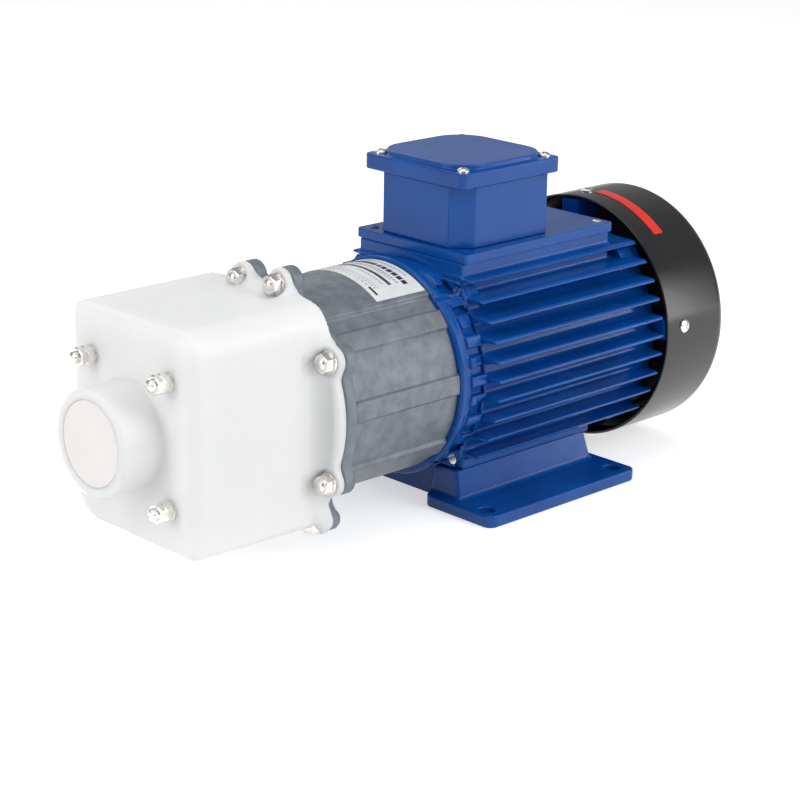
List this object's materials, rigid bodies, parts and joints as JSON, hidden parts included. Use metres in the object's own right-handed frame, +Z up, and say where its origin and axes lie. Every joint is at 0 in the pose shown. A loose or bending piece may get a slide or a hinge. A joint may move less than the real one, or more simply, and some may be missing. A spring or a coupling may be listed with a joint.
{
  "type": "magnetic drive pump",
  "caption": "Horizontal magnetic drive pump: milky plastic head with a front suction stub, grey bracket, blue finned motor on feet with terminal box and black fan cover.",
  "frame": {"origin": "centre of the foot bolt pattern, on the underside of the feet", "axes": "+X along the shaft from the suction stub to the fan, +Z up, +Y completes a right-handed set and points to the discharge port's side"},
  "size_m": [0.4293, 0.162, 0.1986],
  "materials": {
    "head_plastic": "milky satin",
    "port_cap_plastic": "satin",
    "stainless": "satin",
    "inner_plastic": "satin",
    "magnet": "satin",
    "carbon": "satin",
    "ceramic": "ground",
    "shell_plastic": "satin",
    "seal_rubber": "matte",
    "bracket_grey": "cast, bare",
    "label_foil": "satin",
    "black_steel": "black oxide",
    "steel": "machined",
    "motor_blue": "gloss enamel",
    "laminations": "bare",
    "copper": "varnished",
    "cage_aluminium": "cast",
    "fan_plastic": "satin",
    "cover_black": "gloss black",
    "stripe_red": "gloss",
    "block_plastic": "moulded"
  },
  "bodies": {
    "body": {"casing": "head_plastic", "front_studs": "stainless", "front_nuts": "stainless", "front_washers": "stainless", "flange_studs": "stainless", "flange_nuts": "stainless", "flange_washers": "stainless", "volute": "inner_plastic", "thrust_rings": "ceramic", "pump_shaft": "ceramic", "containment_shell": "shell_plastic", "casing_o_ring": "seal_rubber", "bracket": "bracket_grey", "label_plate": "label_foil", "bracket_screws": "black_steel", "front_shield": "motor_blue", "front_shield_screws": "stainless", "motor_frame": "motor_blue", "feet": "motor_blue", "foot_screws": "black_steel", "stator_core": "laminations", "stator_windings": "copper", "bearing_outer_races": "steel", "wave_washer": "steel", "rear_shield": "motor_blue", "rear_shield_screws": "stainless", "fan_cover": "cover_black", "cover_screws": "stainless", "stripe": "stripe_red", "terminal_base": "motor_blue", "terminal_base_screws": "stainless", "terminal_box": "motor_blue", "terminal_gasket": "seal_rubber", "terminal_lid": "motor_blue", "lid_screws": "stainless", "terminal_block": "block_plastic", "entry_plug": "fan_plastic"},
    "rotor": {"magnet_carrier": "steel", "outer_magnets": "magnet", "carrier_set_screws": "black_steel", "rotor_core": "laminations", "rotor_end_rings": "cage_aluminium", "motor_shaft": "steel", "shaft_key": "steel", "bearing_balls": "steel", "bearing_inner_races": "steel", "cooling_fan": "fan_plastic", "fan_circlip": "black_steel"},
    "impeller_set": {"impeller": "inner_plastic", "inner_magnet_can": "inner_plastic", "inner_magnets": "magnet", "impeller_bush": "carbon"},
    "suction_cap": {"suction_plug": "port_cap_plastic"},
    "discharge_cap": {"discharge_plug": "port_cap_plastic"}
  },
  "joints": [
    {"name": "rotor_spin", "type": "hinge", "parent": "body", "child": "rotor", "pos_m": [0, 0, 0.08], "axis": [1, 0, 0], "continuous": true},
    {"name": "impeller_spin", "type": "hinge", "parent": "body", "child": "impeller_set", "pos_m": [-0.15, 0, 0.08], "axis": [1, 0, 0], "continuous": true},
    {"name": "suction_plug_pull", "type": "slide", "parent": "body", "child": "suction_cap", "axis": [-1, 0, 0], "range_m": [0, 0.04]},
    {"name": "discharge_plug_pull", "type": "slide", "parent": "body", "child": "discharge_cap", "axis": [0, 1, 0], "range_m": [0, 0.03]}
  ],
  "couplings": [
    {"joint": "impeller_spin", "follows": "rotor_spin", "ratio": 1}
  ]
}
